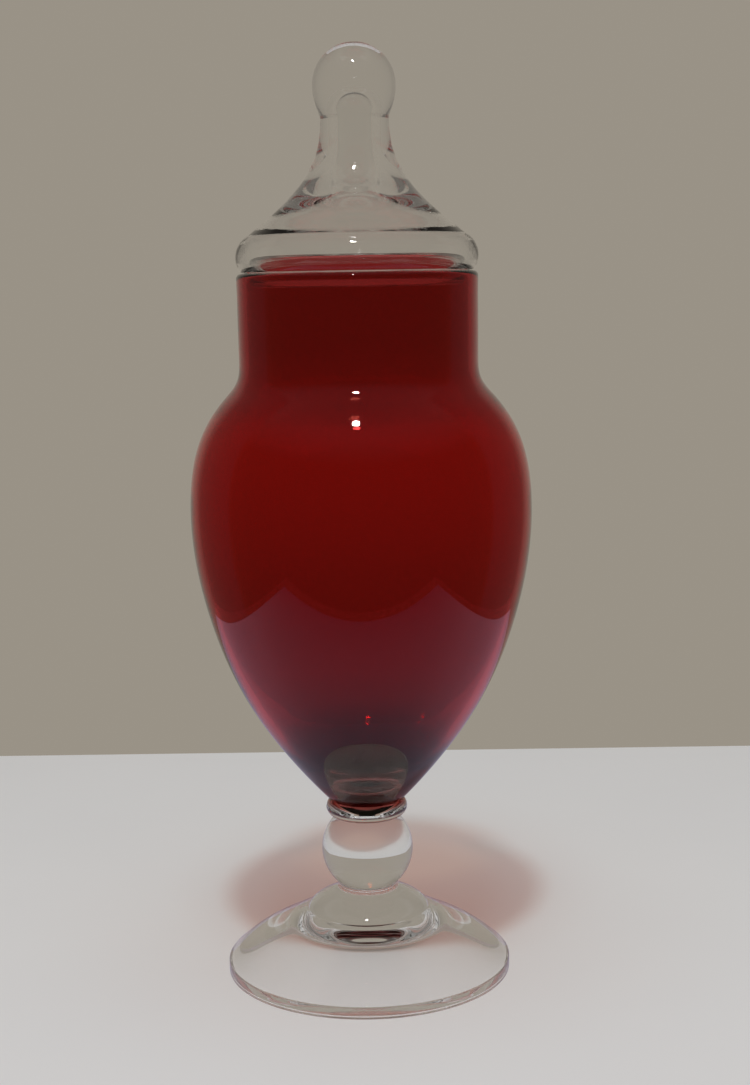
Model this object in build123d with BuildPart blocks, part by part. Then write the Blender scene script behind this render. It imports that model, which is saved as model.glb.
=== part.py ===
from build123d import *

import os

# A footed glass jar with a lift-off lid, in millimetres. The jar's axis is Z and it stands on Z = 0.
# Every piece is a gather of glass, round about the axis, so each one is a half section that is revolved.

# Heights of the faces where one gather is joined to the next, from the table up
FOOT_TOP = 20.6
BOSS_TOP = 29.2
KNOP_TOP = 51.8
WAFER_TOP = 55.0
RIM_HEIGHT = 229.2
CREASE_HEIGHT = 277.3
TOTAL_HEIGHT = 300.0

# Foot: a shallow cone, hollow below, that rests on a narrow ring
FOOT_RADIUS = 46.75
FOOT_EDGE = 4.1
FOOT_BROW = (43.2, 7.2)
FOOT_SLOPE = ((38.0, 11.0), (30.0, 15.3))
FOOT_REST_WIDTH = 3.0
FOOT_EDGE_ROUND = 0.6
FOOT_HOLLOW_SHOULDER = (23.0, 12.4)
FOOT_HOLLOW_ROOF = 13.2

# Stem: a boss on the foot, a ball knop and a wafer under the bowl
BOSS_RADIUS = 20.0
BOSS_SHOULDER_RADIUS = 13.4
BOSS_SHOULDER_HEIGHT = 25.6
BOSS_TOP_RADIUS = 9.8
KNOP_RADIUS = 15.0
KNOP_CENTRE = 40.7
WAFER_EDGE = (12.5, 52.8)
WAFER_SEAT_RADIUS = 13.4

# Bowl: a straight neck, a rounded shoulder and a body that narrows to a thick solid bottom. Each station
# down the body is a radius, a height and the thickness of the wall there.
BOWL_RADIUS = 54.9
BOWL_WIDEST = 157.0
NECK_RADIUS = 38.3
NECK_BASE = 199.5
NECK_WALL = 3.0
BOWL_STATIONS = (
    (43.0, 190.0, 2.5),
    (50.8, 178.0, 2.2),
    (BOWL_RADIUS, BOWL_WIDEST, 2.0),
    (49.9, 120.0, 2.6),
    (38.5, 92.0, 2.9),
)
BOWL_TAPER = (24.8, 72.0)
BOWL_WAIST = (12.0, 57.6)
BOWL_FLARE = (13.05, 56.4)
BOWL_HEEL = (19.0, 71.0)
BOWL_BOTTOM = 64.5
LIP_ROUND = 1.3

# Lid: a blown shell with a rolled edge, a collar that drops into the neck and a ball to lift it by
LID_RADIUS = 38.4
LID_WIDEST = 233.8
LID_SEAT_RADIUS = 36.9
LID_SKIRT = ((35.5, 240.1), (26.6, 247.2), (17.7, 256.2), (11.8, 267.7))
LID_STEM_RADIUS = 10.8
LID_CEILING = ((6.5, 260.2), (12.4, 254.5), (19.4, 249.6), (25.4, 245.4), (32.2, 240.4))
LID_LEDGE = (35.5, 235.0)
FINGER_RADIUS = 4.95
FINGER_BASE = 266.0
COLLAR_BORE = 31.1
COLLAR_RADIUS = 34.2
COLLAR_DEPTH = 4.2
COLLAR_ROUND = 1.2
FINIAL_RADIUS = 13.1
FINIAL_HOLLOW_RADIUS = 5.6
FINIAL_HOLLOW_TOP = 285.7

DOWN = (0, -1)
UP = (0, 1)

finial_centre = TOTAL_HEIGHT - FINIAL_RADIUS
knop_foot_radius = (KNOP_RADIUS**2 - (KNOP_CENTRE - BOSS_TOP) ** 2) ** 0.5
knop_head_radius = (KNOP_RADIUS**2 - (KNOP_TOP - KNOP_CENTRE) ** 2) ** 0.5


# The foot's underside runs up from the resting ring, then levels off under the stem.
with BuildPart() as foot:
    with BuildSketch(Plane.XZ):
        with BuildLine():
            slope = Spline((FOOT_RADIUS, FOOT_EDGE), FOOT_BROW, *FOOT_SLOPE, (BOSS_RADIUS, FOOT_TOP))
            roof = TangentArc((0, FOOT_HOLLOW_ROOF), FOOT_HOLLOW_SHOULDER, tangent=(1, 0))
            Polyline(
                roof @ 1,
                (FOOT_RADIUS - FOOT_REST_WIDTH, 0),
                (FOOT_RADIUS, 0),
                slope @ 0,
            )
            Polyline(slope @ 1, (0, FOOT_TOP), roof @ 0)
        section = make_face()
        edge_corners = section.vertices().sort_by(Axis.X)[-3:]
        fillet(edge_corners, FOOT_EDGE_ROUND)
    revolve(axis=Axis.Z)

# The boss is an ogee between the foot's cone and the bottom of the ball.
with BuildPart() as foot_boss:
    with BuildSketch(Plane.XZ):
        with BuildLine():
            ogee = Spline(
                (BOSS_RADIUS, FOOT_TOP),
                (BOSS_SHOULDER_RADIUS, BOSS_SHOULDER_HEIGHT),
                (BOSS_TOP_RADIUS, BOSS_TOP),
                tangents=[(-0.5, 1), UP],
            )
            Polyline(ogee @ 1, (0, BOSS_TOP), (0, FOOT_TOP), ogee @ 0)
        make_face()
    revolve(axis=Axis.Z)

with BuildPart() as stem_knop:
    with BuildSketch(Plane.XZ):
        with BuildLine():
            ball = ThreePointArc(
                (knop_foot_radius, BOSS_TOP),
                (KNOP_RADIUS, KNOP_CENTRE),
                (knop_head_radius, KNOP_TOP),
            )
            Polyline(ball @ 1, (0, KNOP_TOP), (0, BOSS_TOP), ball @ 0)
        make_face()
    revolve(axis=Axis.Z)

# The wafer is the lower part of a rounded ring between the ball and the bowl. The bowl's foot is the rest.
with BuildPart() as stem_wafer:
    with BuildSketch(Plane.XZ):
        with BuildLine():
            rounded_edge = ThreePointArc(
                (knop_head_radius, KNOP_TOP), WAFER_EDGE, (WAFER_SEAT_RADIUS, WAFER_TOP)
            )
            Polyline(rounded_edge @ 1, (0, WAFER_TOP), (0, KNOP_TOP), rounded_edge @ 0)
        make_face()
    revolve(axis=Axis.Z)

# The bowl's cavity is set in from its outside by one wall, square to the surface, as far down as its heel,
# where it leaves the outside and rounds off over the solid bottom.
with BuildPart() as bowl:
    with BuildSketch(Plane.XZ):
        with BuildLine():
            outside_points = [(radius, height) for radius, height, wall in BOWL_STATIONS]
            body = Spline(
                (NECK_RADIUS, NECK_BASE),
                *outside_points,
                BOWL_TAPER,
                BOWL_WAIST,
                tangents=[DOWN, (-0.7, -0.7)],
            )
            flare = ThreePointArc(body @ 1, BOWL_FLARE, (WAFER_SEAT_RADIUS, WAFER_TOP))
            Polyline(body @ 0, (NECK_RADIUS, RIM_HEIGHT), (0, RIM_HEIGHT), (0, WAFER_TOP), flare @ 1)
        make_face()
    revolve(axis=Axis.Z)
    inside_points = []
    for radius, height, wall in BOWL_STATIONS:
        place = body.param_at_point((radius, height))
        inward = (body % place).rotate(Axis.Z, -90)
        inside_points.append(body @ place + wall * inward)
    with BuildSketch(Plane.XZ):
        with BuildLine():
            bore = NECK_RADIUS - NECK_WALL
            cavity = Spline(
                (bore, NECK_BASE), *inside_points, BOWL_HEEL, (0, BOWL_BOTTOM), tangents=[DOWN, (-1, 0)]
            )
            Polyline(cavity @ 0, (bore, RIM_HEIGHT), (0, RIM_HEIGHT), cavity @ 1)
        make_face()
    revolve(axis=Axis.Z, mode=Mode.SUBTRACT)
    lip = bowl.faces().sort_by(Axis.Z)[-1]
    fillet(lip.edges(), LIP_ROUND)

# The shell's outside runs from the rolled edge over the skirt to the stem. Its inside has a hollow rolled
# ledge above the collar, the underside of the skirt and the start of the narrow finger hollow.
with BuildPart() as lid_shell:
    with BuildSketch(Plane.XZ):
        with BuildLine():
            rolled_edge = ThreePointArc(
                (LID_SEAT_RADIUS, RIM_HEIGHT), (LID_RADIUS, LID_WIDEST), LID_SKIRT[0]
            )
            skirt = Spline(*LID_SKIRT, (LID_STEM_RADIUS, CREASE_HEIGHT), tangents=[(-1, 0.75), UP])
            finger = Line((FINGER_RADIUS, CREASE_HEIGHT), (FINGER_RADIUS, FINGER_BASE))
            ceiling = Spline(finger @ 1, *LID_CEILING, tangents=[DOWN, (1, -0.5)])
            ledge = ThreePointArc(ceiling @ 1, LID_LEDGE, (COLLAR_BORE, RIM_HEIGHT))
            Line(skirt @ 1, finger @ 0)
            Line(ledge @ 1, rolled_edge @ 0)
        make_face()
    revolve(axis=Axis.Z)

with BuildPart() as lid_collar:
    with BuildSketch(Plane.XZ):
        with BuildLine():
            collar_base = RIM_HEIGHT - COLLAR_DEPTH
            Polyline(
                (COLLAR_BORE, RIM_HEIGHT),
                (COLLAR_RADIUS, RIM_HEIGHT),
                (COLLAR_RADIUS, collar_base),
                (COLLAR_BORE, collar_base),
                close=True,
            )
        section = make_face()
        fillet(section.vertices().group_by(Axis.Y)[0], COLLAR_ROUND)
    revolve(axis=Axis.Z)

# The finial's hollow ends in a round tip that is a little wider than the finger below it.
with BuildPart() as finial_knob:
    with BuildSketch(Plane.XZ):
        with BuildLine():
            crown = RadiusArc((0, TOTAL_HEIGHT), (FINIAL_RADIUS, finial_centre), FINIAL_RADIUS)
            underside_arc = TangentArc(crown @ 1, (LID_STEM_RADIUS, CREASE_HEIGHT), tangent=DOWN)
            tip_base = FINIAL_HOLLOW_TOP - FINIAL_HOLLOW_RADIUS
            widening = Line((FINGER_RADIUS, CREASE_HEIGHT), (FINIAL_HOLLOW_RADIUS, tip_base))
            tip = RadiusArc(widening @ 1, (0, FINIAL_HOLLOW_TOP), -FINIAL_HOLLOW_RADIUS)
            Line(underside_arc @ 1, widening @ 0)
            Line(tip @ 1, crown @ 0)
        make_face()
    revolve(axis=Axis.Z)

pieces = {
    "foot": foot,
    "foot_boss": foot_boss,
    "stem_knop": stem_knop,
    "stem_wafer": stem_wafer,
    "bowl": bowl,
    "lid_shell": lid_shell,
    "lid_collar": lid_collar,
    "finial_knob": finial_knob,
}

os.makedirs("parts", exist_ok=True)
for name, piece in pieces.items():
    piece.part.label = name
    export_step(piece.part, f"parts/{name}.step")
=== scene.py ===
"""A footed glass jar on a pale table under one small lamp.

The bowl is ruby glass. The foot, the stem and the lift-off lid are clear.
"""

import math

import bmesh
import bpy
import numpy as np
from mathutils import Matrix, Vector, noise


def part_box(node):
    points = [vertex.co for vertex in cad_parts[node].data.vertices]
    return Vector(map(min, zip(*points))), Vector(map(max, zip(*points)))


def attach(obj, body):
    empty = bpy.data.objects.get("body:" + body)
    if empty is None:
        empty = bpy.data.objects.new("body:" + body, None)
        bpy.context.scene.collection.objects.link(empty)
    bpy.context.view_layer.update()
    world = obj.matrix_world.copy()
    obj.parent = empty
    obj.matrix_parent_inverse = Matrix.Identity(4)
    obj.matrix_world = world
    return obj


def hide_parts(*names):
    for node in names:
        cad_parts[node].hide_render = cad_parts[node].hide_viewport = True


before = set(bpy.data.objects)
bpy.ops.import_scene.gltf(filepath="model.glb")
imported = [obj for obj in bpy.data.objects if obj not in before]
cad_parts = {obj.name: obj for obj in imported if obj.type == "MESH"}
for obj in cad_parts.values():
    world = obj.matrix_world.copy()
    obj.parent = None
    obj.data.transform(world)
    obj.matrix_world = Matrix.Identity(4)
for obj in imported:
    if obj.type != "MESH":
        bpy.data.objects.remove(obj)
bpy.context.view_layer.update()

# Outlines are half sections in millimetres: radius, then height above the table.
MM = 0.001


def top_of(node):
    """The height of a CAD node's top, in millimetres."""
    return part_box(node)[1].z / MM


# Heights of the joints between gathers of glass
FOOT_TOP = top_of("foot")
BOSS_TOP = top_of("foot_boss")
KNOP_TOP = top_of("stem_knop")
WAFER_TOP = top_of("stem_wafer")
RIM = top_of("bowl")
CREASE = top_of("lid_shell")
TOP = top_of("finial_knob")

# Radii where one gather meets the next
BOSS_RADIUS = 19.95
BOSS_HEAD_RADIUS = 9.8
KNOP_HEAD_RADIUS = 10.05
WAFER_SEAT_RADIUS = 13.35
LID_STEM_RADIUS = 10.8
FINGER_RADIUS = 5.5
COLLAR_BORE = 31.06
COLLAR_RADIUS = 34.2

FOOT_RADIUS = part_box("foot")[1].x / MM

# How thick the bowl's wall is at each height
BOWL_WALL_HEIGHTS = (80, 120, 160, 185, 200)
BOWL_WALLS = (3.0, 2.6, 2.0, 2.2, 3.0)

# Each joint's two faces stand this far back from it, so that they never share a plane.
JOINT_GAP = 0.01

# Slow waves in the blown pieces: how fast they come and go, and from which radius they have their full depth
WAVES_AROUND = 1.3
WAVES_PER_MM = 0.02
FULL_WAVE_RADIUS = 20

AROUND = 192
SHARP_ANGLE = math.radians(30)
TOUCHING = 1e-6
DOWN, UP, IN = (0, -1), (0, 1), (-1, 0)
GLASS, FUSED = 0, 1


# ---------------------------------------------------------------- outlines


def run(a, b, spacing=1.5):
    """A straight run of points from a to b."""
    count = max(2, math.ceil(math.dist(a, b) / spacing) + 1)
    return np.linspace(a, b, count)


def arc(a, through, b, spacing=0.5):
    """A circular arc from a to b by way of a third point."""
    a, through, b = (np.array(p, float) for p in (a, through, b))
    system = 2 * np.array([through - a, b - a])
    centre = np.linalg.solve(system, [through @ through - a @ a, b @ b - a @ a])
    radius = np.linalg.norm(a - centre)
    first, middle, last = (math.atan2(*(p - centre)[::-1]) for p in (a, through, b))
    turn = (last - first) % math.tau
    if (middle - first) % math.tau > turn:
        turn -= math.tau
    count = max(6, math.ceil(abs(turn) * radius / spacing) + 1)
    angles = first + np.linspace(0, turn, count)
    return centre + radius * np.stack([np.cos(angles), np.sin(angles)], 1)


def curve(points, start, end, spacing=1.0):
    """A smooth line through the points, which sets off along start and comes in along end."""
    points = np.array(points, float)
    chords = np.linalg.norm(np.diff(points, axis=0), axis=1)
    system = np.eye(len(points))
    slopes = np.zeros_like(points)
    slopes[0] = np.array(start) / np.linalg.norm(start)
    slopes[-1] = np.array(end) / np.linalg.norm(end)
    for i in range(1, len(points) - 1):
        before, after = chords[i - 1], chords[i]
        system[i, i - 1 : i + 2] = after, 2 * (before + after), before
        slopes[i] = 3 * (
            after * (points[i] - points[i - 1]) / before + before * (points[i + 1] - points[i]) / after
        )
    slopes = np.linalg.solve(system, slopes)
    line = [points[:1]]
    for i, chord in enumerate(chords):
        t = np.linspace(0, 1, max(3, math.ceil(chord / spacing) + 1))[1:, None]
        line.append(
            (2 * t**3 - 3 * t**2 + 1) * points[i]
            + (t**3 - 2 * t**2 + t) * chord * slopes[i]
            + (3 * t**2 - 2 * t**3) * points[i + 1]
            + (t**3 - t**2) * chord * slopes[i + 1]
        )
    return np.concatenate(line)


def inset(line, depth):
    """The line moved square to itself, to its right."""
    along = np.gradient(line, axis=0)
    along /= np.linalg.norm(along, axis=1, keepdims=True)
    return line + depth * np.stack([along[:, 1], -along[:, 0]], 1)


def outline(*parts):
    """Joins (points, face kind) parts into one list of points and the kind of face that starts at each."""
    points, kinds = [], []
    for line, kind in parts:
        line = [tuple(p) for p in line]
        if points and math.dist(points[-1], line[0]) < TOUCHING:
            points.pop()
            kinds.pop()
        points += line
        kinds += [kind] * len(line)
    return points, kinds


# ---------------------------------------------------------------- meshes


def wave(radius, height, angle, depth, seed):
    """How far blown glass stands off its true outline, in millimetres: between -depth and 0."""
    place = Vector((math.cos(angle), math.sin(angle), height * WAVES_PER_MM)) * WAVES_AROUND
    share = 0.5 + 0.5 * noise.noise(place + Vector((seed, 0, 0)))
    return -depth * min(1, radius / FULL_WAVE_RADIUS) * share


def lathe(name, shape, materials, ring=False, waves=0.0, seed=0):
    """A closed mesh turned from an outline.

    A ring's outline closes on itself. Any other runs from axis to axis.
    """
    points, kinds = shape
    mesh = bpy.data.meshes.new(name)
    bm = bmesh.new()
    angles = [math.tau * j / AROUND for j in range(AROUND)]
    rows = []
    for radius, height in points:
        if radius < TOUCHING:
            rows.append([bm.verts.new((0, 0, height * MM))] * AROUND)
            continue
        row = []
        for angle in angles:
            out = radius + wave(radius, height, angle, waves, seed)
            place = Vector((out * math.cos(angle), out * math.sin(angle), height))
            row.append(bm.verts.new(place * MM))
        rows.append(row)
    last = len(rows) if ring else len(rows) - 1
    for i in range(last):
        lower, upper = rows[i], rows[(i + 1) % len(rows)]
        for j in range(AROUND):
            k = (j + 1) % AROUND
            corners = dict.fromkeys((lower[j], lower[k], upper[k], upper[j]))
            face = bm.faces.new(list(corners))
            face.smooth = True
            face.material_index = kinds[i]
    bmesh.ops.recalc_face_normals(bm, faces=bm.faces)
    bm.to_mesh(mesh)
    bm.free()
    mesh.set_sharp_from_angle(angle=SHARP_ANGLE)
    for material in materials:
        mesh.materials.append(material)
    piece = bpy.data.objects.new(name, mesh)
    bpy.context.scene.collection.objects.link(piece)
    return piece


# ---------------------------------------------------------------- materials


def node_at(tree, kind, **sockets):
    """A new shader node with these inputs set or linked."""
    node = tree.nodes.new(kind)
    for name, value in sockets.items():
        socket = node.inputs[name.replace("_", " ")]
        if isinstance(value, bpy.types.NodeSocket):
            tree.links.new(value, socket)
        else:
            socket.default_value = value
    return node


def by_height(tree, place, tints):
    """A colour that changes with height, through (millimetres, colour) pairs."""
    low, high = tints[0][0], tints[-1][0]
    height = node_at(tree, "ShaderNodeSeparateXYZ", Vector=place).outputs["Z"]
    share = node_at(tree, "ShaderNodeMapRange", Value=height, From_Min=low * MM, From_Max=high * MM)
    ramp = node_at(tree, "ShaderNodeValToRGB", Fac=share.outputs["Result"])
    stops = ramp.color_ramp.elements
    while len(stops) < len(tints):
        stops.new(0.5)
    for stop, (level, colour) in zip(stops, tints):
        stop.position = (level - low) / (high - low)
        stop.color = (*colour, 1)
    return ramp.outputs["Color"]


def glass(name, tints, shade):
    """Fire-polished glass.

    The tints colour what is seen through a surface at each height. The shade colours what reaches the table.
    """
    material = bpy.data.materials.new(name)
    material.use_nodes = True
    tree = material.node_tree
    tree.nodes.clear()
    place = tree.nodes.new("ShaderNodeTexCoord").outputs["Object"]
    ripple = node_at(tree, "ShaderNodeTexNoise", Vector=place, Scale=28.0, Detail=2.0, Roughness=0.4)
    bump = node_at(tree, "ShaderNodeBump", Height=ripple.outputs["Fac"], Strength=0.12, Distance=0.0006)
    smears = node_at(tree, "ShaderNodeTexNoise", Vector=place, Scale=60.0, Detail=4.0, Roughness=0.6)
    polish = node_at(
        tree,
        "ShaderNodeMapRange",
        Value=smears.outputs["Fac"],
        From_Min=0.35,
        From_Max=0.75,
        To_Min=0.0,
        To_Max=0.02,
    )
    body = node_at(
        tree,
        "ShaderNodeBsdfPrincipled",
        Base_Color=by_height(tree, place, tints),
        Roughness=polish.outputs["Result"],
        IOR=1.5,
        Transmission_Weight=1.0,
        Coat_Weight=0.04,
        Coat_Roughness=0.05,
        Normal=bump.outputs["Normal"],
    )
    passing = node_at(tree, "ShaderNodeBsdfTransparent", Color=(*shade, 1))
    ray = tree.nodes.new("ShaderNodeLightPath").outputs
    lighting = tree.nodes.new("ShaderNodeMath")
    lighting.operation = "MAXIMUM"
    tree.links.new(ray["Is Shadow Ray"], lighting.inputs[0])
    tree.links.new(ray["Is Diffuse Ray"], lighting.inputs[1])
    mix = tree.nodes.new("ShaderNodeMixShader")
    tree.links.new(lighting.outputs[0], mix.inputs[0])
    tree.links.new(body.outputs[0], mix.inputs[1])
    tree.links.new(passing.outputs[0], mix.inputs[2])
    node_at(tree, "ShaderNodeOutputMaterial", Surface=mix.outputs[0])
    return material


def fused(name):
    """The face where two gathers of hot glass ran together: nothing is left there to see."""
    material = bpy.data.materials.new(name)
    material.use_nodes = True
    tree = material.node_tree
    tree.nodes.clear()
    passing = node_at(tree, "ShaderNodeBsdfTransparent", Color=(1, 1, 1, 1))
    node_at(tree, "ShaderNodeOutputMaterial", Surface=passing.outputs[0])
    return material


# Height in millimetres and colour. The ruby is deepest in the solid bottom and the thick neck, and it ends
# just above the joint on the wafer.
RUBY_TINTS = (
    (55, (0.95, 0.88, 0.86)),
    (56, (0.90, 0.78, 0.76)),
    (56.5, (0.62, 0.04, 0.03)),
    (57.6, (0.35, 0.015, 0.012)),
    (59, (0.06, 0.006, 0.006)),
    (64, (0.03, 0.004, 0.004)),
    (74, (0.05, 0.006, 0.006)),
    (83, (0.36, 0.02, 0.022)),
    (92, (0.50, 0.03, 0.035)),
    (122, (0.53, 0.035, 0.04)),
    (150, (0.64, 0.04, 0.04)),
    (178, (0.70, 0.045, 0.04)),
    (190, (0.56, 0.04, 0.045)),
    (198, (0.52, 0.04, 0.045)),
    (206, (0.49, 0.035, 0.04)),
    (230, (0.49, 0.035, 0.04)),
)
CLEAR_TINTS = ((0, (0.995, 1.0, 1.0)), (300, (0.99, 0.99, 0.985)))
ruby = glass("ruby_glass", RUBY_TINTS, (0.77, 0.45, 0.3))
clear = glass("clear_glass", CLEAR_TINTS, (0.995, 0.995, 0.995))
joint = fused("fused_joint")

# ---------------------------------------------------------------- pieces of the jar


def add(name, shape, body, materials, **how):
    """Turns a piece, lets it stand for the CAD node of the same name and ride on its body."""
    piece = lathe(name + "_glass", shape, materials, **how)
    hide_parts(name)
    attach(piece, body)
    return piece


def foot_outline():
    """The cone, from the joint under the boss out over its edge to the level middle of its underside.

    Its edge and resting ring keep a small margin inside the frame's box.
    """
    joint_height = FOOT_TOP - JOINT_GAP
    margin = 0.01
    face = FOOT_RADIUS - margin
    face_low, face_high = 0.6, 3.6
    brow = (46.2, 4.5)
    ring_in, ring_out = 44.35, 46.15
    underside = (43.75, 0.5)
    roof_foot, roof_shoulder, roof = (25.0, 11.4), (21.0, 12.7), (0, 13.2)
    slope = [(BOSS_RADIUS, joint_height), (30, 15.3), (38, 10.95), (43.2, 7.1), brow]
    return outline(
        (run((0, joint_height), (BOSS_RADIUS, joint_height)), FUSED),
        (curve(slope, (1, -0.52), (1, -0.86)), GLASS),
        (arc(brow, (46.6, 4.15), (face, face_high)), GLASS),
        (run((face, face_high), (face, face_low)), GLASS),
        (arc((face, face_low), (46.57, 0.18), (ring_out, margin)), GLASS),
        (run((ring_out, margin), (ring_in, margin)), GLASS),
        (arc((ring_in, margin), (43.9, 0.15), underside), GLASS),
        (run(underside, roof_foot), GLASS),
        (curve([roof_foot, roof_shoulder, (8, 13.1), roof], (-1, 0.6), IN), GLASS),
    )


def boss_outline():
    """An ogee between the foot's cone and the bottom of the knop."""
    low, high = FOOT_TOP + JOINT_GAP, BOSS_TOP - JOINT_GAP
    shoulder = (13.4, 25.6)
    ogee = [(BOSS_HEAD_RADIUS, high), shoulder, (BOSS_RADIUS, low)]
    return outline(
        (run((0, high), (BOSS_HEAD_RADIUS, high)), FUSED),
        (curve(ogee, DOWN, (0.5, -1), 0.4), GLASS),
        (run((BOSS_RADIUS, low), (0, low)), FUSED),
    )


def knop_outline():
    """A ball, cut level where it meets the boss and the wafer."""
    low, high = BOSS_TOP + JOINT_GAP, KNOP_TOP - JOINT_GAP
    widest, foot = (14.99, 40.7), (9.7, low)
    return outline(
        (run((0, high), (KNOP_HEAD_RADIUS, high)), FUSED),
        (arc((KNOP_HEAD_RADIUS, high), widest, foot), GLASS),
        (run(foot, (0, low)), FUSED),
    )


def wafer_outline():
    """The rounded lower part of the ring under the bowl."""
    low, high = KNOP_TOP + JOINT_GAP, WAFER_TOP - JOINT_GAP
    edge = (12.45, 52.8)
    return outline(
        (run((0, high), (WAFER_SEAT_RADIUS, high)), FUSED),
        (arc((WAFER_SEAT_RADIUS, high), edge, (KNOP_HEAD_RADIUS, low)), GLASS),
        (run((KNOP_HEAD_RADIUS, low), (0, low)), FUSED),
    )


def bowl_outline():
    """Up the inside from the solid bottom to the lip, then down the outside to the joint on the wafer."""
    low = WAFER_TOP + JOINT_GAP
    neck, waist, flare = (38.3, 222.0), (12.0, 57.6), (13.0, 56.4)
    lip = (38.4, RIM - 1.5)
    lip_start, lip_rise = RIM - 1.4, 1.5
    heel_top, heel, bottom = 84.0, (19.0, 71.0), (0, 64.5)
    body = curve(
        [
            neck,
            (38.2, 203.0),
            (39.2, 195.0),
            (43.0, 190.0),
            (50.8, 178.0),
            (54.9, 157.0),
            (49.9, 120.0),
            (38.5, 92.0),
            (24.8, 72.0),
            waist,
        ],
        DOWN,
        (-0.7, -0.7),
    )
    wall = np.interp(body[:, 1], BOWL_WALL_HEIGHTS, BOWL_WALLS)
    inner = inset(body, wall[:, None])
    inner = inner[inner[:, 1] > heel_top]
    cavity_end = curve([inner[-1], heel, bottom], inner[-1] - inner[-2], IN)
    bore = inner[0][0]
    return outline(
        (cavity_end[::-1], GLASS),
        (inner[::-1], GLASS),
        (run((bore, neck[1]), (bore, lip_start)), GLASS),
        (arc((bore, lip_start), (bore + lip_rise, RIM), lip), GLASS),
        (run(lip, neck), GLASS),
        (body, GLASS),
        (arc(waist, flare, (WAFER_SEAT_RADIUS, low)), GLASS),
        (run((WAFER_SEAT_RADIUS, low), (0, low)), FUSED),
    )


def lid_outline():
    """Round the shell: rolled edge, skirt, joint with the finial, finger hollow, ceiling and ledge."""
    high, collar_top = CREASE - JOINT_GAP, RIM + JOINT_GAP
    seat, edge_low = (35.6, RIM + 0.1), (36.9, RIM + 0.4)
    edge_widest, edge_high = (38.4, 233.8), (35.5, 240.1)
    finger_base = (FINGER_RADIUS, 268.0)
    ledge_high, ledge_deep = (32.2, 240.36), (35.5, 235.0)
    skirt = [edge_high, (26.6, 247.2), (17.7, 256.2), (11.8, 267.7), (LID_STEM_RADIUS, high)]
    ceiling = [
        finger_base,
        (6.5, 262.4),
        (9.6, 257.6),
        (14.4, 253.4),
        (19.8, 249.6),
        (25.6, 245.4),
        ledge_high,
    ]
    return outline(
        (arc(edge_low, edge_widest, edge_high), GLASS),
        (curve(skirt, (-1, 0.75), UP), GLASS),
        (run((LID_STEM_RADIUS, high), (FINGER_RADIUS, high)), FUSED),
        (run((FINGER_RADIUS, high), finger_base), GLASS),
        (curve(ceiling, DOWN, (1, -0.5)), GLASS),
        (arc(ledge_high, ledge_deep, (COLLAR_BORE, collar_top), 0.3), GLASS),
        (run((COLLAR_BORE, collar_top), (COLLAR_RADIUS, collar_top)), FUSED),
        (arc((COLLAR_RADIUS, collar_top), seat, edge_low, 0.3), GLASS),
    )


def collar_outline():
    """The ring that drops into the neck, with a rounded lower edge."""
    depth, rounding = 4.2, 1.4
    low, high = RIM - depth, RIM - JOINT_GAP
    lower_edge = low + rounding
    outside, middle = 34.1, 32.5
    return outline(
        (run((COLLAR_BORE, high), (COLLAR_RADIUS, high)), FUSED),
        (run((COLLAR_RADIUS, high), (outside, lower_edge)), GLASS),
        (arc((outside, lower_edge), (middle, low), (COLLAR_BORE, lower_edge)), GLASS),
        (run((COLLAR_BORE, lower_edge), (COLLAR_BORE, high)), GLASS),
    )


def finial_outline():
    """The ball, with the round tip of the finger hollow inside it."""
    low = CREASE + JOINT_GAP
    ball = 13.1
    centre, diagonal = TOP - ball, ball * math.sqrt(0.5)
    tip, tip_shoulder, tip_base = (0, 286.6), (4.2, 284.9), (6.0, 281.0)
    return outline(
        (arc(tip, tip_shoulder, tip_base), GLASS),
        (curve([tip_base, (FINGER_RADIUS, low)], DOWN, DOWN, 0.5), GLASS),
        (run((FINGER_RADIUS, low), (LID_STEM_RADIUS, low)), FUSED),
        (curve([(LID_STEM_RADIUS, low), (ball, centre)], (0.45, 0.9), UP), GLASS),
        (arc((ball, centre), (diagonal, centre + diagonal), (0, TOP)), GLASS),
    )


CLEAR, RUBY = (clear, joint), (ruby, joint)
add("foot", foot_outline(), "jar", CLEAR, waves=0.10, seed=1)
add("foot_boss", boss_outline(), "jar", CLEAR)
add("stem_knop", knop_outline(), "jar", CLEAR)
add("stem_wafer", wafer_outline(), "jar", CLEAR)
add("bowl", bowl_outline(), "jar", RUBY, waves=0.15, seed=5)
add("lid_shell", lid_outline(), "lid", CLEAR, ring=True)
add("lid_collar", collar_outline(), "lid", CLEAR, ring=True)
add("finial_knob", finial_outline(), "lid", CLEAR)

# ---------------------------------------------------------------- stage, light and camera


def mirrored_ray(tree):
    """1 for a ray that has just bounced off polished glass, 0 for any other."""
    ray = tree.nodes.new("ShaderNodeLightPath").outputs
    bounced = tree.nodes.new("ShaderNodeMath")
    bounced.operation = "SUBTRACT"
    bounced.use_clamp = True
    tree.links.new(ray["Is Glossy Ray"], bounced.inputs[0])
    tree.links.new(ray["Is Transmission Ray"], bounced.inputs[1])
    return bounced.outputs[0]


def blend(tree, share, first, second):
    """A colour between two, each given or linked."""
    colour_a, colour_b = 6, 7
    mix = tree.nodes.new("ShaderNodeMix")
    mix.data_type = "RGBA"
    tree.links.new(share, mix.inputs[0])
    for socket, value in ((mix.inputs[colour_a], first), (mix.inputs[colour_b], second)):
        if isinstance(value, bpy.types.NodeSocket):
            tree.links.new(value, socket)
        else:
            socket.default_value = (*value, 1)
    return mix.outputs[2]


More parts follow.
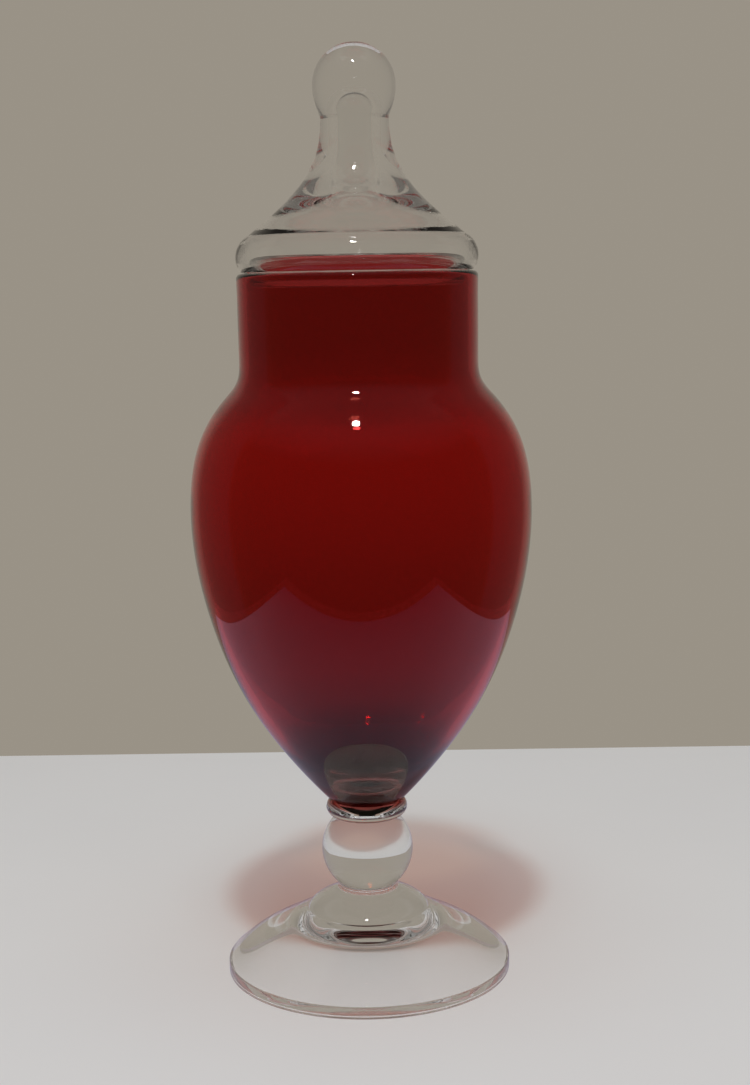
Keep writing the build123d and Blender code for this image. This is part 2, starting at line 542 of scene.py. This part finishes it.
def tabletop():
    """A pale slab. The bowl mirrors its near edge and sides. Mirrored, it is dimmer, most of all up close."""
    left, right, near, far, thick = -0.27, 0.262, -0.215, 0.272, 0.03
    turn, dimming_end = math.radians(-1.1), -0.03
    mesh = bpy.data.meshes.new("tabletop")
    bm = bmesh.new()
    bmesh.ops.create_cube(bm, size=1.0)
    size = Matrix.Diagonal((right - left, far - near, thick, 1))
    middle = Matrix.Translation(((left + right) / 2, (near + far) / 2, -thick / 2))
    bmesh.ops.transform(bm, matrix=middle @ size, verts=bm.verts)
    bm.to_mesh(mesh)
    bm.free()
    material = bpy.data.materials.new("pale_laminate")
    material.use_nodes = True
    tree = material.node_tree
    shader = tree.nodes["Principled BSDF"]
    place = tree.nodes.new("ShaderNodeTexCoord").outputs["Object"]
    grain = node_at(tree, "ShaderNodeTexNoise", Vector=place, Scale=9.0, Detail=3.0)
    tone = blend(tree, grain.outputs["Fac"], (0.78, 0.78, 0.785), (0.82, 0.82, 0.82))
    depth = node_at(tree, "ShaderNodeSeparateXYZ", Vector=place).outputs["Y"]
    nearness = node_at(tree, "ShaderNodeMapRange", Value=depth, From_Min=near, From_Max=dimming_end)
    dimmed = blend(tree, nearness.outputs["Result"], (0.16, 0.15, 0.22), (0.5, 0.46, 0.62))
    tree.links.new(blend(tree, mirrored_ray(tree), tone, dimmed), shader.inputs["Base Color"])
    shader.inputs["Roughness"].default_value = 0.6
    shader.inputs["Specular IOR Level"].default_value = 0.25
    mesh.materials.append(material)
    slab = bpy.data.objects.new("tabletop", mesh)
    slab.rotation_euler.z = turn
    bpy.context.scene.collection.objects.link(slab)


def room():
    """A warm pale wall behind the jar and a dim room round it, both dimmer where the glass mirrors them."""
    wall, dim_room = (0.32, 0.288, 0.24), (0.15, 0.138, 0.122)
    mirrored_wall, mirrored_front = (0.095, 0.085, 0.075), (0.08, 0.066, 0.042)
    mirrored_ceiling = (0.15, 0.13, 0.12)
    world = bpy.data.worlds.new("room")
    bpy.context.scene.world = world
    world.use_nodes = True
    tree = world.node_tree
    tree.nodes.clear()
    direction = tree.nodes.new("ShaderNodeTexCoord").outputs["Generated"]
    parts = node_at(tree, "ShaderNodeSeparateXYZ", Vector=direction)
    behind = node_at(tree, "ShaderNodeMapRange", Value=parts.outputs["Y"], From_Min=0.10, From_Max=0.16)
    above = node_at(tree, "ShaderNodeMapRange", Value=parts.outputs["Z"], From_Min=0.45, From_Max=0.8)
    straight = node_at(tree, "ShaderNodeMapRange", Value=parts.outputs["Y"], From_Min=0.70, From_Max=0.95)
    seen = blend(tree, behind.outputs["Result"], dim_room, wall)
    front = blend(tree, above.outputs["Result"], mirrored_front, mirrored_ceiling)
    back_wall = blend(tree, straight.outputs["Result"], mirrored_wall, wall)
    mirrored = blend(tree, behind.outputs["Result"], front, back_wall)
    back = node_at(tree, "ShaderNodeBackground", Color=blend(tree, mirrored_ray(tree), seen, mirrored))
    node_at(tree, "ShaderNodeOutputWorld", Surface=back.outputs[0])


def lamp(name, place, size, power, colour, seen=True):
    """A round lamp that faces the jar's foot. One that isn't seen lights the table and shows in no glass."""
    data = bpy.data.lights.new(name, "AREA")
    data.shape = "DISK"
    data.size = size
    data.energy = power
    data.color = colour
    light = bpy.data.objects.new(name, data)
    light.location = place
    light.rotation_euler = Vector(place).to_track_quat("Z", "Y").to_euler()
    light.visible_glossy = seen
    light.visible_transmission = seen
    bpy.context.scene.collection.objects.link(light)


def camera():
    """At the photograph's place: about half a metre in front, level with the rim and tipped down."""
    place = (0, -0.572, 0.227)
    down, turn, roll = math.radians(8.4), math.radians(0.42), math.radians(-0.97)
    data = bpy.data.cameras.new("camera")
    data.sensor_width = 36
    data.lens = 59.26
    eye = bpy.data.objects.new("camera", data)
    eye.matrix_world = (
        Matrix.Translation(place)
        @ Matrix.Rotation(-turn, 4, "Z")
        @ Matrix.Rotation(math.pi / 2 - down, 4, "X")
        @ Matrix.Rotation(roll, 4, "Z")
    )
    bpy.context.scene.collection.objects.link(eye)
    bpy.context.scene.camera = eye


# The small lamp gives the highlights and the shadow's core, and its glow softens the shadow's edge.
LAMP_PLACE, LAMP_COLOUR = (-0.09, -1.06, 2.25), (1.0, 0.98, 0.97)
tabletop()
room()
lamp("ceiling_lamp", LAMP_PLACE, 0.17, 15.5, LAMP_COLOUR)
lamp("lamp_glow", LAMP_PLACE, 0.7, 9.3, LAMP_COLOUR, seen=False)
lamp("soft_fill", (0.0, -0.3, 1.5), 1.5, 6.1, (0.88, 0.96, 1.06), seen=False)
camera()

# Light crosses many surfaces of clear glass before it gets out, so it is followed further than usual.
scene = bpy.context.scene
scene.view_settings.view_transform = "Standard"
scene.cycles.max_bounces = 24
scene.cycles.glossy_bounces = 16
scene.cycles.transmission_bounces = 24
